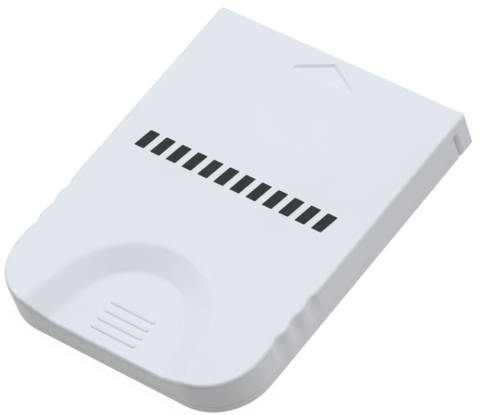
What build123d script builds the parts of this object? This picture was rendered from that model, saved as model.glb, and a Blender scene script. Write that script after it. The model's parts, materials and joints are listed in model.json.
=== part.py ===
from build123d import *
import math
import os

# Console memory card, lying flat: width along X, insertion end at +Y, thumb end at -Y, top at +Z.
# The origin is the middle of the underside. All sizes are in millimetres.

# Outside of the card
card_width = 41.45
card_length = 52.4
card_thickness = 5.8
thumb_corner_radius = 8.0
insert_corner_radius = 0.7
top_edge_radius = 0.55
bottom_edge_radius = 0.35

# Walls of the two shells and the lip that joins them
seam_height = 1.3
side_wall = 1.8
top_skin = 1.1
bottom_skin = 0.9
inner_corner_radius = 0.5
lip_thickness = 0.7
lip_height = 1.0
lip_clearance = 0.08
lip_chamfer = 0.2
seam_chamfer = 0.03

# Thumb recess, which flares towards the thumb end and is open there
recess_radius = 12.45
recess_centre_from_end = 4.2
recess_slope_width = 4.2
recess_depth = 1.5
recess_lip_radius = 3.0
recess_floor_blend = 2.5
recess_flare = 14.0

# Grip ridges on the floor of the recess
ridge_count = 4
ridge_pitch = 1.41
ridge_length = 7.8
ridge_width = 1.0
ridge_height = 0.16
first_ridge_from_end = 2.5

# Sunk arrow that points to the insertion end, with sloping walls
arrow_width = 13.2
arrow_length = 3.45
arrow_depth = 0.22
arrow_wall_run = 0.38
arrow_tip_from_end = 1.25
arrow_corner_radius = 0.5
arrow_floor_corner_radius = 0.12

# Grip scallops in both sides, which fade towards the underside
scallop_count = 3
scallop_pitch = 3.5
scallop_gap = 0.3
scallop_depth = 0.32
scallop_low_depth = 0.02
scallop_blend = 0.75
first_scallop_past_corner = 3.4

# Latch notch in both sides, near the insertion end, rounded out towards that end
notch_depth = 0.45
notch_low_depth = 0.3
notch_floor = 0.5
notch_rounding = 1.0
notch_top_gap = 1.35
notch_from_end = 3.45

# Contact fingers
contact_count = 12
contact_pitch = 2.2
contact_width = 1.5
contact_length = 5.0
contact_thickness = 0.05
contact_setback = 0.5

# Circuit board, which lies at the height of the seam
board_thickness = 1.0
board_clearance = 0.3
board_setback = 1.0
board_corner_radius = 0.5
board_bevel = 0.25
tongue_margin = 0.7

# Mouth in the insertion end
mouth_clearance = 0.8
mouth_headroom = 1.3
mouth_chamfer = 0.25

# Pins of the bottom shell and the bosses of the top shell that take them
post_diameter = 4.0
pin_diameter = 2.0
pin_clearance = 0.06
board_hole_clearance = 0.12
clamp_clearance = 0.08
post_inset = 3.4
front_post_from_end = 8.2
rear_post_from_end = 10.2
pin_end_gap = 0.4
support_diameter = 3.0
support_inset = 6.5

# Memory chip, in a package with leads at its two ends
memory_body_length = 18.4
memory_body_width = 12.0
memory_body_height = 1.0
memory_lead_count = 24
memory_lead_pitch = 0.5
memory_lead_width = 0.22
memory_x = -4.0
memory_from_front = 15.7

# Controller chip, in a package with leads at its two sides
controller_body_length = 6.5
controller_body_width = 4.4
controller_body_height = 0.9
controller_lead_count = 10
controller_lead_pitch = 0.65
controller_lead_width = 0.25
controller_x = 10.8
controller_from_front = 15.7

# Shared by the leads of both chips
lead_thickness = 0.14
lead_foot = 0.5
lead_reach = 0.9
chip_standoff = 0.05
chip_edge_radius = 0.12

# Chip capacitors behind the memory chip
capacitor_count = 4
capacitor_pitch = 5.0
capacitor_length = 2.0
capacitor_width = 1.25
capacitor_height = 0.85
capacitor_gap = 2.0

# Chip resistors between the memory chip and the contacts
resistor_count = 4
resistor_pitch = 5.0
resistor_length = 1.6
resistor_width = 0.8
resistor_height = 0.45
resistor_gap = 1.6

# Metal ends of capacitors and resistors
terminal_share = 0.22
terminal_rise = 0.03

# Extra length of cutters past the face that they cut, and of bosses into what carries them
overcut = 1.0
root = 0.1

# Tolerance for picking faces, edges and corners by their place
near = 0.001

# Places that follow from the sizes above
half_width = card_width / 2
half_length = card_length / 2
ceiling = card_thickness - top_skin
recess_floor = card_thickness - recess_depth
recess_y = recess_centre_from_end - half_length
recess_floor_radius = recess_radius - recess_slope_width
scallop_width = scallop_pitch - scallop_gap
board_bottom = seam_height
board_top = board_bottom + board_thickness
board_front = half_length - board_setback
board_half_width = half_width - side_wall - board_clearance
shoulder_y = half_length - side_wall - board_clearance
tongue_width = (contact_count - 1) * contact_pitch + contact_width + 2 * tongue_margin
mouth_width = tongue_width + 2 * mouth_clearance
mouth_top = board_top + mouth_headroom
post_x = half_width - side_wall - post_inset
front_post_y = half_length - front_post_from_end
rear_post_y = rear_post_from_end - half_length
board_rear = rear_post_y + post_diameter / 2 + board_clearance
pin_top = ceiling - pin_end_gap
memory_y = board_front - memory_from_front
controller_y = board_front - controller_from_front
front_posts = [(-post_x, front_post_y), (post_x, front_post_y)]
rear_posts = [(-post_x, rear_post_y), (post_x, rear_post_y)]


def row(count, pitch):
    """Places of equal pitch, centred on zero."""
    return [(i - (count - 1) / 2) * pitch for i in range(count)]


def upright(outline, bottom, top):
    """Solid with a plan outline, between two heights."""
    return extrude(Pos(0, 0, bottom) * outline, amount=top - bottom)


def post(x, y, diameter, bottom, top):
    """Round post between two heights."""
    return upright(Pos(x, y) * Circle(diameter / 2), bottom, top)


def block(x_size, y_size, bottom, top, x=0.0, y=0.0):
    """Rectangular block, centred on a plan point, between two heights."""
    return upright(Pos(x, y) * Rectangle(x_size, y_size), bottom, top)


def card_plan(inset=0.0):
    """Plan of the card with every wall moved inward."""
    outline = Rectangle(card_width - 2 * inset, card_length - 2 * inset)
    thumb_radius = max(thumb_corner_radius - inset, inner_corner_radius)
    insert_radius = max(insert_corner_radius - inset, inner_corner_radius)
    outline = fillet(outline.vertices().group_by(Axis.Y)[0], thumb_radius)
    return fillet(outline.vertices().group_by(Axis.Y)[-1], insert_radius)


def scallop_places():
    """Places of the grip scallops along the card."""
    first = thumb_corner_radius + first_scallop_past_corner - half_length
    return [first + i * scallop_pitch for i in range(scallop_count)]


def scallop_plan(depth):
    """Plan of a grip scallop in the right side: an arc, blended into the wall at both ends."""
    turn = 2 * math.atan2(2 * depth, scallop_width)
    angle = math.degrees(turn)
    blend_radius = scallop_blend / math.sin(turn)
    middle_radius = (scallop_width / 2 - scallop_blend) / math.sin(turn)
    first_y = -scallop_width / 2
    outside = half_width + overcut
    start = JernArc((half_width, first_y), (0, 1), blend_radius, angle)
    middle = JernArc(start @ 1, start % 1, middle_radius, -2 * angle)
    end = JernArc(middle @ 1, middle % 1, blend_radius, angle)
    rest = Polyline(end @ 1, (outside, -first_y), (outside, first_y), (half_width, first_y))
    return make_face([start, middle, end, *rest.edges()])


def scallops():
    """Grip scallops in both sides, deep at the top and faint above the rounded lower edge."""
    slope = (scallop_depth - scallop_low_depth) / (card_thickness - bottom_edge_radius)
    low_plan = Pos(0, 0, bottom_edge_radius) * scallop_plan(scallop_low_depth)
    high_plan = Pos(0, 0, card_thickness + overcut) * scallop_plan(scallop_depth + slope * overcut)
    scallop = loft([low_plan, high_plan], ruled=True)
    right = [Pos(0, y) * scallop for y in scallop_places()]
    return right + [mirror(cut, about=Plane.YZ) for cut in right]


def recess_profile():
    """Half section of the thumb recess, as distance from its middle and height."""
    slope = math.atan2(recess_depth, recess_slope_width)
    floor_run = recess_floor_blend * math.tan(slope / 2)
    lip_run = recess_lip_radius * math.tan(slope / 2)
    slope_end = (
        recess_radius - lip_run * math.cos(slope),
        card_thickness - lip_run * math.sin(slope),
    )
    above = card_thickness + overcut
    floor = Line((0, recess_floor), (recess_floor_radius - floor_run, recess_floor))
    blend = JernArc(floor @ 1, (1, 0), recess_floor_blend, math.degrees(slope))
    side = Line(blend @ 1, slope_end)
    lip = JernArc(side @ 1, side % 1, recess_lip_radius, -math.degrees(slope))
    rim_x = (lip @ 1).X
    rest = Polyline(lip @ 1, (rim_x, above), (0, above), (0, recess_floor))
    return make_face([floor, blend, side, lip, *rest.edges()])


def recess_form():
    """Solid that the thumb recess takes away: part of a dish, and sides that flare."""
    flare = math.radians(recess_flare)
    across = (math.cos(flare), math.sin(flare), 0)
    along = (math.sin(flare), -math.cos(flare), 0)
    to_end = recess_centre_from_end + overcut
    reach = (to_end + (recess_radius + overcut) * math.sin(flare)) / math.cos(flare)
    plane = Plane(origin=(0, recess_y, 0), x_dir=across, z_dir=along)
    half = plane * recess_profile()
    middle_axis = Axis((0, recess_y, 0), (0, 0, 1))
    form = revolve(half, axis=middle_axis, revolution_arc=180 - 2 * recess_flare)
    side = extrude(half, amount=reach)
    form += side
    form += mirror(side, about=Plane.YZ)
    above = card_thickness + overcut
    return form + block(recess_floor_radius, to_end, recess_floor, above, 0, recess_y - to_end / 2)


def notch_plan(depth):
    """Plan of a latch notch in the right side: a floor that curves back out to the wall."""
    start = half_length - notch_from_end
    far = start + notch_floor
    deep = half_width - depth
    outside = half_width + overcut
    turn = math.acos(1 - depth / notch_rounding)
    heading = (math.sin(turn), math.cos(turn))
    rise = JernArc((deep, far), heading, notch_rounding, math.degrees(turn))
    end_y = (rise @ 1).Y
    rest = Polyline(rise @ 1, (outside, end_y), (outside, start), (deep, start), (deep, far))
    return make_face([rise, *rest.edges()])


def notches():
    """Latch notches in both sides, open below and shallow there."""
    top = card_thickness - notch_top_gap
    notch = loft([notch_plan(notch_low_depth), Pos(0, 0, top) * notch_plan(notch_depth)], ruled=True)
    return notch + mirror(notch, about=Plane.YZ)


def arrow():
    """Triangle that is sunk into the top face, smaller at its floor."""
    tip = half_length - arrow_tip_from_end
    base = tip - arrow_length
    corners = [(0, tip), (-arrow_width / 2, base), (arrow_width / 2, base)]
    rim = make_face(Polyline(*corners, close=True).edges())
    floor = offset(rim, -arrow_wall_run)
    rim = fillet(rim.vertices(), arrow_corner_radius)
    floor = fillet(floor.vertices(), arrow_floor_corner_radius)
    floor_height = card_thickness - arrow_depth
    return loft([Pos(0, 0, floor_height) * floor, Pos(0, 0, card_thickness) * rim], ruled=True)


def ridge_section():
    """Half section of a grip ridge, from its middle outward, with a round top."""
    half = ridge_width / 2
    radius = (half**2 + ridge_height**2) / (2 * ridge_height)
    top = JernArc((0, ridge_height), (1, 0), radius, -math.degrees(math.asin(half / radius)))
    rest = Polyline(top @ 1, (half, -root), (0, -root), (0, ridge_height))
    return make_face([top, *rest.edges()])


def ridge(y):
    """Low grip ridge across the floor of the thumb recess, with round ends."""
    half = ridge_section()
    reach = (ridge_length - ridge_width) / 2
    middle = Plane(origin=(-reach, y, recess_floor), x_dir=(0, 1, 0), z_dir=(1, 0, 0))
    made = extrude(middle * (half + mirror(half, about=Plane.YZ)), amount=2 * reach)
    for side in (-1, 1):
        end = Plane(origin=(side * reach, y, recess_floor), x_dir=(0, -side, 0), z_dir=(-side, 0, 0))
        made += revolve(end * half, axis=Axis((side * reach, y, 0), (0, 0, 1)), revolution_arc=180)
    return made


def ridges():
    """Grip ridges, from the thumb end inward."""
    return [ridge(first_ridge_from_end + i * ridge_pitch - half_length) for i in range(ridge_count)]


def bosses():
    """Bosses under the top of the card, each with a socket for a pin."""
    bottom = board_top + clamp_clearance
    socket = pin_diameter + 2 * pin_clearance
    made = []
    for x, y in front_posts + rear_posts:
        boss = post(x, y, post_diameter, bottom, ceiling + root)
        made.append(boss - post(x, y, socket, bottom - overcut, pin_top + pin_clearance))
    return made


def top_blank():
    """Outside of the top shell, with its recess and its rounded upper edge."""
    blank = upright(card_plan(), seam_height, card_thickness) - recess_form()
    for scallop in scallops():
        blank -= scallop
    lowest = recess_floor - near
    walls = [face for face in blank.faces() if face.bounding_box().min.Z < seam_height + near]
    upper = [edge for wall in walls for edge in wall.edges() if edge.bounding_box().min.Z > lowest]
    blank = fillet(upper, top_edge_radius)
    return chamfer(blank.faces().sort_by(Axis.Z)[0].outer_wire().edges(), seam_chamfer)


def top_shell():
    """Cover with the recess, hollow inside, open below and at the mouth."""
    hollow = upright(card_plan(side_wall), seam_height - overcut, ceiling)
    hollow -= Pos(0, 0, -top_skin) * recess_form()
    rabbet_inset = side_wall - lip_thickness - lip_clearance
    rabbet_top = seam_height + lip_height + lip_clearance
    shell = top_blank() - hollow
    shell -= upright(card_plan(rabbet_inset), seam_height - overcut, rabbet_top)
    mouth_depth = side_wall + overcut
    mouth_y = half_length - side_wall + mouth_depth / 2
    shell -= block(mouth_width, mouth_depth, seam_height - overcut, mouth_top, 0, mouth_y)
    shell = chamfer(mouth_edges(shell), mouth_chamfer)
    shell -= notches()
    shell -= arrow()
    for piece in ridges() + bosses():
        shell += piece
    return shell


def mouth_edges(shell):
    """Edges of the mouth on the end face of the top shell."""
    edges = []
    for edge in shell.edges():
        box = edge.bounding_box()
        on_face = box.min.Y > half_length - near
        in_mouth = max(abs(box.min.X), abs(box.max.X)) < mouth_width / 2 + near
        if on_face and in_mouth and box.max.Z < mouth_top + near:
            edges.append(edge)
    return edges


def bottom_shell():
    """Tray with the flat underside, the lip, and the pins that hold the board and the cover."""
    blank = upright(card_plan(), 0, seam_height)
    blank = fillet(blank.edges().group_by(Axis.Z)[0], bottom_edge_radius)
    for scallop in scallops():
        blank -= scallop
    shell = chamfer(blank.faces().sort_by(Axis.Z)[-1].outer_wire().edges(), seam_chamfer)
    shell -= upright(card_plan(side_wall), bottom_skin, seam_height + overcut)
    shell += lip_ring()
    for x, y in front_posts:
        shell += post(x, y, post_diameter, bottom_skin - root, board_bottom)
        shell += post(x, y, pin_diameter, bottom_skin, pin_top)
    for x, y in rear_posts:
        shell += post(x, y, post_diameter, bottom_skin - root, board_top)
        shell += post(x, y, pin_diameter, bottom_skin, pin_top)
    support_y = board_rear + support_diameter / 2
    for side in (-1, 1):
        x = side * (board_half_width - support_inset)
        shell += post(x, support_y, support_diameter, bottom_skin - root, board_bottom)
    return shell - notches()


def lip_ring():
    """Lip that stands inside the wall of the top shell, left out at the mouth."""
    top = seam_height + lip_height
    ring = upright(card_plan(side_wall - lip_thickness), seam_height - root, top)
    ring = chamfer(ring.edges().group_by(Axis.Z)[-1], lip_chamfer)
    ring -= upright(card_plan(side_wall), seam_height - overcut, top + overcut)
    gap_width = mouth_width + 2 * mouth_chamfer
    gap_depth = side_wall + overcut
    gap_y = half_length - side_wall - root + gap_depth / 2
    return ring - block(gap_width, gap_depth, seam_height, top + overcut, 0, gap_y)


def circuit_board():
    """Board with shoulders behind the end wall and a bevelled tongue in the mouth."""
    body_length = shoulder_y - board_rear
    body = Pos(0, (shoulder_y + board_rear) / 2) * Rectangle(2 * board_half_width, body_length)
    body = fillet(body.vertices(), board_corner_radius)
    tongue_length = board_front - shoulder_y + board_corner_radius
    tongue_y = board_front - tongue_length / 2
    outline = body + Pos(0, tongue_y) * Rectangle(tongue_width, tongue_length)
    board = upright(outline, board_bottom, board_top)
    board = chamfer(board.faces().sort_by(Axis.Y)[-1].edges().filter_by(Axis.X), board_bevel)
    hole = pin_diameter + 2 * board_hole_clearance
    for x, y in front_posts:
        board -= post(x, y, hole, board_bottom - overcut, board_top + overcut)
    return board


def contacts():
    """Contact fingers on the tongue, by name."""
    y = board_front - contact_setback - contact_length / 2
    top = board_top + contact_thickness
    made = {}
    for i, x in enumerate(row(contact_count, contact_pitch)):
        made[f"contact_{i + 1:02d}"] = block(contact_width, contact_length, board_top, top, x, y)
    return made


def chip_body(length, width, height, x, y):
    """Moulded body of a chip, with its longer side along X."""
    bottom = board_top + chip_standoff
    body = block(length, width, bottom, bottom + height, x, y)
    return fillet(body.edges().group_by(Axis.Z)[-1], chip_edge_radius)


def lead(height):
    """Bent lead of unit width seen from its side: shoulder, leg and foot, from the body outward."""
    shoulder = height / 2
    leg = lead_reach - lead_foot
    return make_face(
        Polyline(
            (0, shoulder),
            (leg - lead_thickness, shoulder),
            (leg - lead_thickness, 0),
            (lead_reach, 0),
            (lead_reach, lead_thickness),
            (leg, lead_thickness),
            (leg, shoulder + lead_thickness),
            (0, shoulder + lead_thickness),
            (0, shoulder),
        ).edges()
    )


def chip_leads(body_length, height, count, pitch, width, x, y):
    """Leads at both ends of a chip that lies along X, as one group of solids."""
    made = []
    for side in (-1, 1):
        for place in row(count, pitch):
            start = (x + side * body_length / 2, y + place + side * width / 2, board_top)
            plane = Plane(origin=start, x_dir=(side, 0, 0), z_dir=(0, -side, 0))
            made.append(extrude(plane * lead(height), amount=width).solid())
    return Compound(children=made)


def passive(length, width, height, x, y):
    """Chip capacitor or resistor, with its metal ends, lying along Y."""
    end = length * terminal_share
    part = block(width, length - end, board_top, board_top + height, x, y)
    end_y = (length - end) / 2
    for side in (-1, 1):
        end_top = board_top + height + terminal_rise
        part += block(width + 2 * terminal_rise, end, board_top, end_top, x, y + side * end_y)
    return part


def capacitors():
    """Row of capacitors behind the memory chip, by name."""
    y = memory_y - memory_body_width / 2 - capacitor_gap
    made = {}
    for i, place in enumerate(row(capacitor_count, capacitor_pitch)):
        made[f"capacitor_{i + 1:02d}"] = passive(
            capacitor_length, capacitor_width, capacitor_height, memory_x + place, y
        )
    return made


def resistors():
    """Row of resistors in front of the memory chip, by name."""
    y = memory_y + memory_body_width / 2 + resistor_gap
    made = {}
    for i, place in enumerate(row(resistor_count, resistor_pitch)):
        made[f"resistor_{i + 1:02d}"] = passive(
            resistor_length, resistor_width, resistor_height, place, y
        )
    return made


def pieces():
    """Every piece of the card, by name."""
    made = {
        "top_shell": top_shell(),
        "bottom_shell": bottom_shell(),
        "circuit_board": circuit_board(),
        "memory_chip_body": chip_body(
            memory_body_length, memory_body_width, memory_body_height, memory_x, memory_y
        ),
        "memory_chip_leads": chip_leads(
            memory_body_length,
            memory_body_height,
            memory_lead_count,
            memory_lead_pitch,
            memory_lead_width,
            memory_x,
            memory_y,
        ),
        "controller_chip_body": chip_body(
            controller_body_width,
            controller_body_length,
            controller_body_height,
            controller_x,
            controller_y,
        ),
        "controller_chip_leads": chip_leads(
            controller_body_width,
            controller_body_height,
            controller_lead_count,
            controller_lead_pitch,
            controller_lead_width,
            controller_x,
            controller_y,
        ),
    }
    made.update(contacts())
    made.update(capacitors())
    made.update(resistors())
    return made


os.makedirs("parts", exist_ok=True)
for name, piece in pieces().items():
    export_step(piece, f"parts/{name}.step")
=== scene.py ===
import json
import math

import bpy
from mathutils import Matrix, Vector


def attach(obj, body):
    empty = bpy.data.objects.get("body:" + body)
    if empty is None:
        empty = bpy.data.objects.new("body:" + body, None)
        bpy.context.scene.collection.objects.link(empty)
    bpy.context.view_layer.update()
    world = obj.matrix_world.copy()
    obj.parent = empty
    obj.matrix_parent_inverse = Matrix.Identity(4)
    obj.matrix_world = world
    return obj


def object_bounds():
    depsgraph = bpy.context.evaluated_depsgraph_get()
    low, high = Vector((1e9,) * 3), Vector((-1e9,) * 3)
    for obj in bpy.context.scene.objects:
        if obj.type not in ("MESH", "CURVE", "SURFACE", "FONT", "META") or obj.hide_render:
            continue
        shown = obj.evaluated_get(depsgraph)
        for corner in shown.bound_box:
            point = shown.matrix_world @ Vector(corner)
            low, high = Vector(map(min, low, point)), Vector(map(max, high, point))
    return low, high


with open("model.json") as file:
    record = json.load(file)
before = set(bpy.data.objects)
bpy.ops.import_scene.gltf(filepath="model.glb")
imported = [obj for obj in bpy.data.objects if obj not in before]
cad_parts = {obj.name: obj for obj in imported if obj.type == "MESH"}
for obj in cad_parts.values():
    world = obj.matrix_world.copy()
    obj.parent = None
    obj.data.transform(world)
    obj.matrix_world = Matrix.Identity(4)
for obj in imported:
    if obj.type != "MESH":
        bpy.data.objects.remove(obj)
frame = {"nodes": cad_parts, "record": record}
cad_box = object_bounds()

MM = 0.001

# Camera: azimuth from the thumb end, height above the floor and turn about its own axis in degrees,
# then the point it aims at, its distance from there and its lens
CAMERA_AZIMUTH = 54.212
CAMERA_ELEVATION = 49.468
CAMERA_ROLL = -20.983
CAMERA_AIM = Vector((-0.833 * MM, 2.658 * MM, 0.0))
CAMERA_DISTANCE = 524.06 * MM
SENSOR_WIDTH = 36.0
FOCAL_LENGTH = 299.57

# Printed marks on the top face
MARK_COUNT = 12
MARK_ROW_WIDTH = 31.7 * MM
MARK_WIDTH = 1.65 * MM
MARK_HEIGHT = 3.0 * MM
MARK_ROW_X = -0.25 * MM
MARK_ROW_Y = 2.97 * MM
MARK_SLANT = 0.3 * MM
MARK_CORNER = 0.16 * MM
MARK_CORNER_STEPS = 5
INK_THICKNESS = 0.012 * MM
INK_SUNK = 0.02 * MM

# Fineness of the surfaces, in features per metre, and the stretch of marks along the card
MOULD_GRAIN = 5200.0
METAL_GRAIN = 9000.0
METAL_STRETCH = (1.0, 0.06, 1.0)

# Tinned ends of the chip capacitors and resistors, as shares of their length
END_SHARE = 0.22
END_BLEND = 0.01

# Floor that glows like a light table, soft boxes and a weak sky
FLOOR_SIZE = 12.0
FLOOR_DARK = (0.048, 0.048, 0.048, 1.0)
FLOOR_LIGHT = (0.052, 0.052, 0.052, 1.0)
FLOOR_GLOW = (0.953, 0.951, 0.948, 1.0)
BOX_DISTANCE = 0.55
BOX_SIZE = 0.32
BOX_COLOR = (0.939, 0.957, 1.0)
BOX_HIGH = 62.0
BOX_LOW = 28.0
WORLD_COLOR = (1.0, 1.0, 1.0, 1.0)
WORLD_STRENGTH = 0.01

# Range of depths that the camera sees
CLIP_START = CAMERA_DISTANCE / 20
CLIP_END = FLOOR_SIZE * 4


def new_material(name):
    """Node material with a principled shader, as (material, nodes, links, shader)."""
    material = bpy.data.materials.new(name)
    material.use_nodes = True
    nodes = material.node_tree.nodes
    shader = nodes["Principled BSDF"]
    return material, nodes, material.node_tree.links, shader


def noise(nodes, links, place, scale, detail=3.0):
    """Noise texture with features of about 1 / scale metres."""
    texture = nodes.new("ShaderNodeTexNoise")
    texture.inputs["Scale"].default_value = scale
    texture.inputs["Detail"].default_value = detail
    links.new(place, texture.inputs["Vector"])
    return texture.outputs["Fac"]


def ramp(nodes, links, value, stops):
    """Colour ramp from (position, colour) stops."""
    node = nodes.new("ShaderNodeValToRGB")
    elements = node.color_ramp.elements
    while len(elements) < len(stops):
        elements.new(0.5)
    for element, (position, color) in zip(elements, stops):
        element.position = position
        element.color = color
    links.new(value, node.inputs["Fac"])
    return node.outputs["Color"]


def map_range(nodes, links, value, low, high):
    """Value from 0 to 1, spread over low to high."""
    node = nodes.new("ShaderNodeMapRange")
    node.inputs["To Min"].default_value = low
    node.inputs["To Max"].default_value = high
    links.new(value, node.inputs["Value"])
    return node.outputs["Result"]


def bump(nodes, links, shader, height, distance, strength):
    """Fine relief on a shader."""
    node = nodes.new("ShaderNodeBump")
    node.inputs["Distance"].default_value = distance
    node.inputs["Strength"].default_value = strength
    links.new(height, node.inputs["Height"])
    links.new(node.outputs["Normal"], shader.inputs["Normal"])


def place_of(nodes, kind="Object"):
    """Texture coordinates of a kind."""
    return nodes.new("ShaderNodeTexCoord").outputs[kind]


def shell_plastic():
    """Cool white moulded plastic, satin, with a very fine spark-eroded texture."""
    material, nodes, links, shader = new_material("shell_plastic")
    place = place_of(nodes)
    tone = noise(nodes, links, place, 70.0, detail=2.0)
    stops = [(0.3, (0.585, 0.600, 0.615, 1)), (0.7, (0.605, 0.620, 0.635, 1))]
    links.new(ramp(nodes, links, tone, stops), shader.inputs["Base Color"])
    grain = noise(nodes, links, place, MOULD_GRAIN, detail=2.0)
    links.new(map_range(nodes, links, grain, 0.40, 0.52), shader.inputs["Roughness"])
    bump(nodes, links, shader, grain, distance=0.006 * MM, strength=0.35)
    return material


def board_laminate():
    """Green solder mask, with the tracks under it a little lighter."""
    material, nodes, links, shader = new_material("board_laminate")
    place = place_of(nodes)
    track = nodes.new("ShaderNodeTexWave")
    track.bands_direction = "X"
    track.inputs["Scale"].default_value = 140.0
    track.inputs["Distortion"].default_value = 0.6
    links.new(place, track.inputs["Vector"])
    stops = [(0.55, (0.010, 0.075, 0.030, 1)), (0.62, (0.018, 0.125, 0.050, 1))]
    links.new(ramp(nodes, links, track.outputs["Fac"], stops), shader.inputs["Base Color"])
    weave = noise(nodes, links, place, 2500.0)
    links.new(map_range(nodes, links, weave, 0.28, 0.40), shader.inputs["Roughness"])
    bump(nodes, links, shader, weave, distance=0.01 * MM, strength=0.3)
    return material


def metal(name, dark, light, low, high):
    """Plated metal with fine marks along the card, its roughness from low to high."""
    material, nodes, links, shader = new_material(name)
    shader.inputs["Metallic"].default_value = 1.0
    stretch = nodes.new("ShaderNodeMapping")
    stretch.inputs["Scale"].default_value = METAL_STRETCH
    links.new(place_of(nodes), stretch.inputs["Vector"])
    grain = noise(nodes, links, stretch.outputs["Vector"], METAL_GRAIN, detail=4.0)
    links.new(ramp(nodes, links, grain, [(0.35, dark), (0.65, light)]), shader.inputs["Base Color"])
    links.new(map_range(nodes, links, grain, low, high), shader.inputs["Roughness"])
    bump(nodes, links, shader, grain, distance=0.002 * MM, strength=0.3)
    return material


def chip_epoxy():
    """Black moulded epoxy with a matte, sandy skin."""
    material, nodes, links, shader = new_material("chip_epoxy")
    grain = noise(nodes, links, place_of(nodes), 6000.0, detail=4.0)
    stops = [(0.3, (0.010, 0.010, 0.011, 1)), (0.7, (0.020, 0.020, 0.022, 1))]
    links.new(ramp(nodes, links, grain, stops), shader.inputs["Base Color"])
    links.new(map_range(nodes, links, grain, 0.55, 0.75), shader.inputs["Roughness"])
    bump(nodes, links, shader, grain, distance=0.01 * MM, strength=0.4)
    return material


def chip_part(name, body_dark, body_light):
    """Chip capacitor or resistor: fired body between two tinned ends."""
    material, nodes, links, shader = new_material(name)
    grain = noise(nodes, links, place_of(nodes), 5000.0)
    body = ramp(nodes, links, grain, [(0.3, body_dark), (0.7, body_light)])
    along = nodes.new("ShaderNodeSeparateXYZ")
    links.new(place_of(nodes, "Generated"), along.inputs["Vector"])
    black, white = (0, 0, 0, 1), (1, 1, 1, 1)
    stops = [
        (0.0, white),
        (END_SHARE - END_BLEND, white),
        (END_SHARE, black),
        (1 - END_SHARE, black),
        (1 - END_SHARE + END_BLEND, white),
    ]
    ends = ramp(nodes, links, along.outputs["Y"], stops)
    mix = nodes.new("ShaderNodeMix")
    mix.data_type = "RGBA"
    links.new(ends, mix.inputs["Factor"])
    links.new(body, mix.inputs["A"])
    mix.inputs["B"].default_value = (0.60, 0.61, 0.62, 1)
    links.new(mix.outputs["Result"], shader.inputs["Base Color"])
    links.new(ends, shader.inputs["Metallic"])
    links.new(map_range(nodes, links, grain, 0.35, 0.55), shader.inputs["Roughness"])
    return material


def print_ink():
    """Near-black pad-printed ink, a little uneven."""
    material, nodes, links, shader = new_material("print_ink")
    place = place_of(nodes)
    tone = noise(nodes, links, place, 900.0, detail=4.0)
    stops = [(0.3, (0.010, 0.012, 0.012, 1)), (0.7, (0.019, 0.021, 0.021, 1))]
    links.new(ramp(nodes, links, tone, stops), shader.inputs["Base Color"])
    grain = noise(nodes, links, place, MOULD_GRAIN, detail=2.0)
    links.new(map_range(nodes, links, grain, 0.42, 0.58), shader.inputs["Roughness"])
    shader.inputs["Specular IOR Level"].default_value = 0.2
    bump(nodes, links, shader, grain, distance=0.004 * MM, strength=0.3)
    return material


def floor_white():
    """Pale floor that glows, so that shadows on it stay faint."""
    material, nodes, links, shader = new_material("floor_white")
    tone = noise(nodes, links, place_of(nodes), 30.0)
    stops = [(0.3, FLOOR_DARK), (0.7, FLOOR_LIGHT)]
    links.new(ramp(nodes, links, tone, stops), shader.inputs["Base Color"])
    shader.inputs["Roughness"].default_value = 0.9
    shader.inputs["Specular IOR Level"].default_value = 0.1
    shader.inputs["Emission Color"].default_value = FLOOR_GLOW
    shader.inputs["Emission Strength"].default_value = 1.0
    return material


def dress_nodes():
    """Gives each CAD node the material of its slot in the record."""
    gold_dark, gold_light = (0.62, 0.40, 0.12, 1), (0.83, 0.58, 0.22, 1)
    tin_dark, tin_light = (0.55, 0.56, 0.57, 1), (0.70, 0.71, 0.72, 1)
    tan_dark, tan_light = (0.20, 0.13, 0.07, 1), (0.27, 0.18, 0.10, 1)
    coal_dark, coal_light = (0.010, 0.010, 0.012, 1), (0.020, 0.020, 0.024, 1)
    materials = {
        "shell_plastic": shell_plastic(),
        "board_laminate": board_laminate(),
        "contact_gold": metal("contact_gold", gold_dark, gold_light, low=0.18, high=0.32),
        "chip_epoxy": chip_epoxy(),
        "tinned_lead": metal("tinned_lead", tin_dark, tin_light, low=0.25, high=0.40),
        "capacitor_ceramic": chip_part("capacitor_ceramic", tan_dark, tan_light),
        "resistor_ceramic": chip_part("resistor_ceramic", coal_dark, coal_light),
    }
    for subpart in frame["record"]["subparts"]:
        node = frame["nodes"][subpart["node"]]
        node.data.materials.clear()
        node.data.materials.append(materials[subpart["material_slot"]])


def mark_outline(x):
    """Plan points of one slanted mark with rounded corners, counter-clockwise."""
    half_width, half_height = MARK_WIDTH / 2, MARK_HEIGHT / 2
    corners = [
        Vector((x + side_x * half_width + side_y * MARK_SLANT, MARK_ROW_Y + side_y * half_height))
        for side_x, side_y in ((1, -1), (1, 1), (-1, 1), (-1, -1))
    ]
    points = []
    for i, corner in enumerate(corners):
        before = (corners[i - 1] - corner).normalized() * MARK_CORNER
        after = (corners[(i + 1) % 4] - corner).normalized() * MARK_CORNER
        for step in range(MARK_CORNER_STEPS + 1):
            t = step / MARK_CORNER_STEPS
            points.append(corner + before * (1 - t) ** 2 + after * t**2)
    return points


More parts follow.
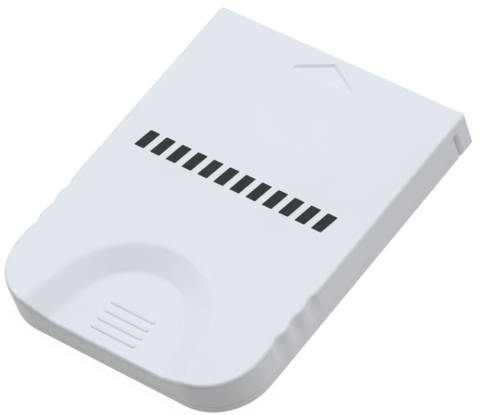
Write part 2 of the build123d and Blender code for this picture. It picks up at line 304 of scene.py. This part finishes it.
def printed_marks(top):
    """Row of plain slanted marks, printed on the top face at a height."""
    vertices, faces = [], []
    pitch = (MARK_ROW_WIDTH - MARK_WIDTH) / (MARK_COUNT - 1)
    for i in range(MARK_COUNT):
        outline = mark_outline(MARK_ROW_X + (i - (MARK_COUNT - 1) / 2) * pitch)
        count, low = len(outline), len(vertices)
        high = low + count
        vertices += [(p.x, p.y, top - INK_SUNK) for p in outline]
        vertices += [(p.x, p.y, top + INK_THICKNESS) for p in outline]
        faces.append([low + k for k in reversed(range(count))])
        faces.append([high + k for k in range(count)])
        for k in range(count):
            following = (k + 1) % count
            faces.append([low + k, low + following, high + following, high + k])
    mesh = bpy.data.meshes.new("printed_marks")
    mesh.from_pydata(vertices, [], faces)
    mesh.materials.append(print_ink())
    piece = bpy.data.objects.new("printed_marks", mesh)
    bpy.context.collection.objects.link(piece)
    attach(piece, "root")


def floor(height):
    """Wide pale floor under the card."""
    half = FLOOR_SIZE / 2
    corners = [(x * half, y * half, height) for x, y in ((-1, -1), (1, -1), (1, 1), (-1, 1))]
    mesh = bpy.data.meshes.new("floor")
    mesh.from_pydata(corners, [], [(0, 1, 2, 3)])
    mesh.materials.append(floor_white())
    piece = bpy.data.objects.new("floor", mesh)
    bpy.context.collection.objects.link(piece)


def direction(azimuth, elevation):
    """Unit vector from the card towards a point round it: azimuth 0 is the thumb end, 90 is +X."""
    a, e = math.radians(azimuth), math.radians(elevation)
    return Vector((math.sin(a) * math.cos(e), -math.cos(a) * math.cos(e), math.sin(e)))


def camera():
    """Long lens at the photograph's angle, turned about its own axis."""
    back = direction(CAMERA_AZIMUTH, CAMERA_ELEVATION)
    upright = (-back).to_track_quat("-Z", "Y").to_matrix()
    turn = Matrix.Rotation(math.radians(CAMERA_ROLL), 3, "Z")
    place = Matrix.Translation(CAMERA_AIM + back * CAMERA_DISTANCE)
    data = bpy.data.cameras.new("camera")
    data.sensor_width = SENSOR_WIDTH
    data.lens = FOCAL_LENGTH
    data.clip_start = CLIP_START
    data.clip_end = CLIP_END
    piece = bpy.data.objects.new("camera", data)
    piece.matrix_world = place @ (upright @ turn).to_4x4()
    bpy.context.collection.objects.link(piece)
    bpy.context.scene.camera = piece


def softbox(name, azimuth, elevation, power):
    """Square soft light that faces the card."""
    data = bpy.data.lights.new(name, "AREA")
    data.shape = "SQUARE"
    data.size = BOX_SIZE
    data.energy = power
    data.color = BOX_COLOR
    piece = bpy.data.objects.new(name, data)
    toward = direction(azimuth, elevation)
    piece.location = toward * BOX_DISTANCE
    piece.rotation_euler = toward.to_track_quat("Z", "Y").to_euler()
    bpy.context.collection.objects.link(piece)


def lights():
    """Soft boxes, most of their light from the left and from behind on the right, and a weak sky."""
    softbox("top", azimuth=0.0, elevation=90.0, power=0.31)
    softbox("high_right", azimuth=135.0, elevation=BOX_HIGH, power=1.76)
    softbox("high_left", azimuth=270.0, elevation=BOX_HIGH, power=1.65)
    softbox("low_right", azimuth=135.0, elevation=BOX_LOW, power=0.50)
    softbox("low_back", azimuth=180.0, elevation=BOX_LOW, power=0.59)
    softbox("low_left", azimuth=270.0, elevation=BOX_LOW, power=0.94)
    world = bpy.data.worlds.new("world")
    world.use_nodes = True
    background = world.node_tree.nodes["Background"]
    background.inputs["Color"].default_value = WORLD_COLOR
    background.inputs["Strength"].default_value = WORLD_STRENGTH
    bpy.context.scene.world = world


dress_nodes()
printed_marks(cad_box[1].z)
floor(cad_box[0].z)
camera()
lights()
bpy.context.scene.view_settings.view_transform = "Standard"
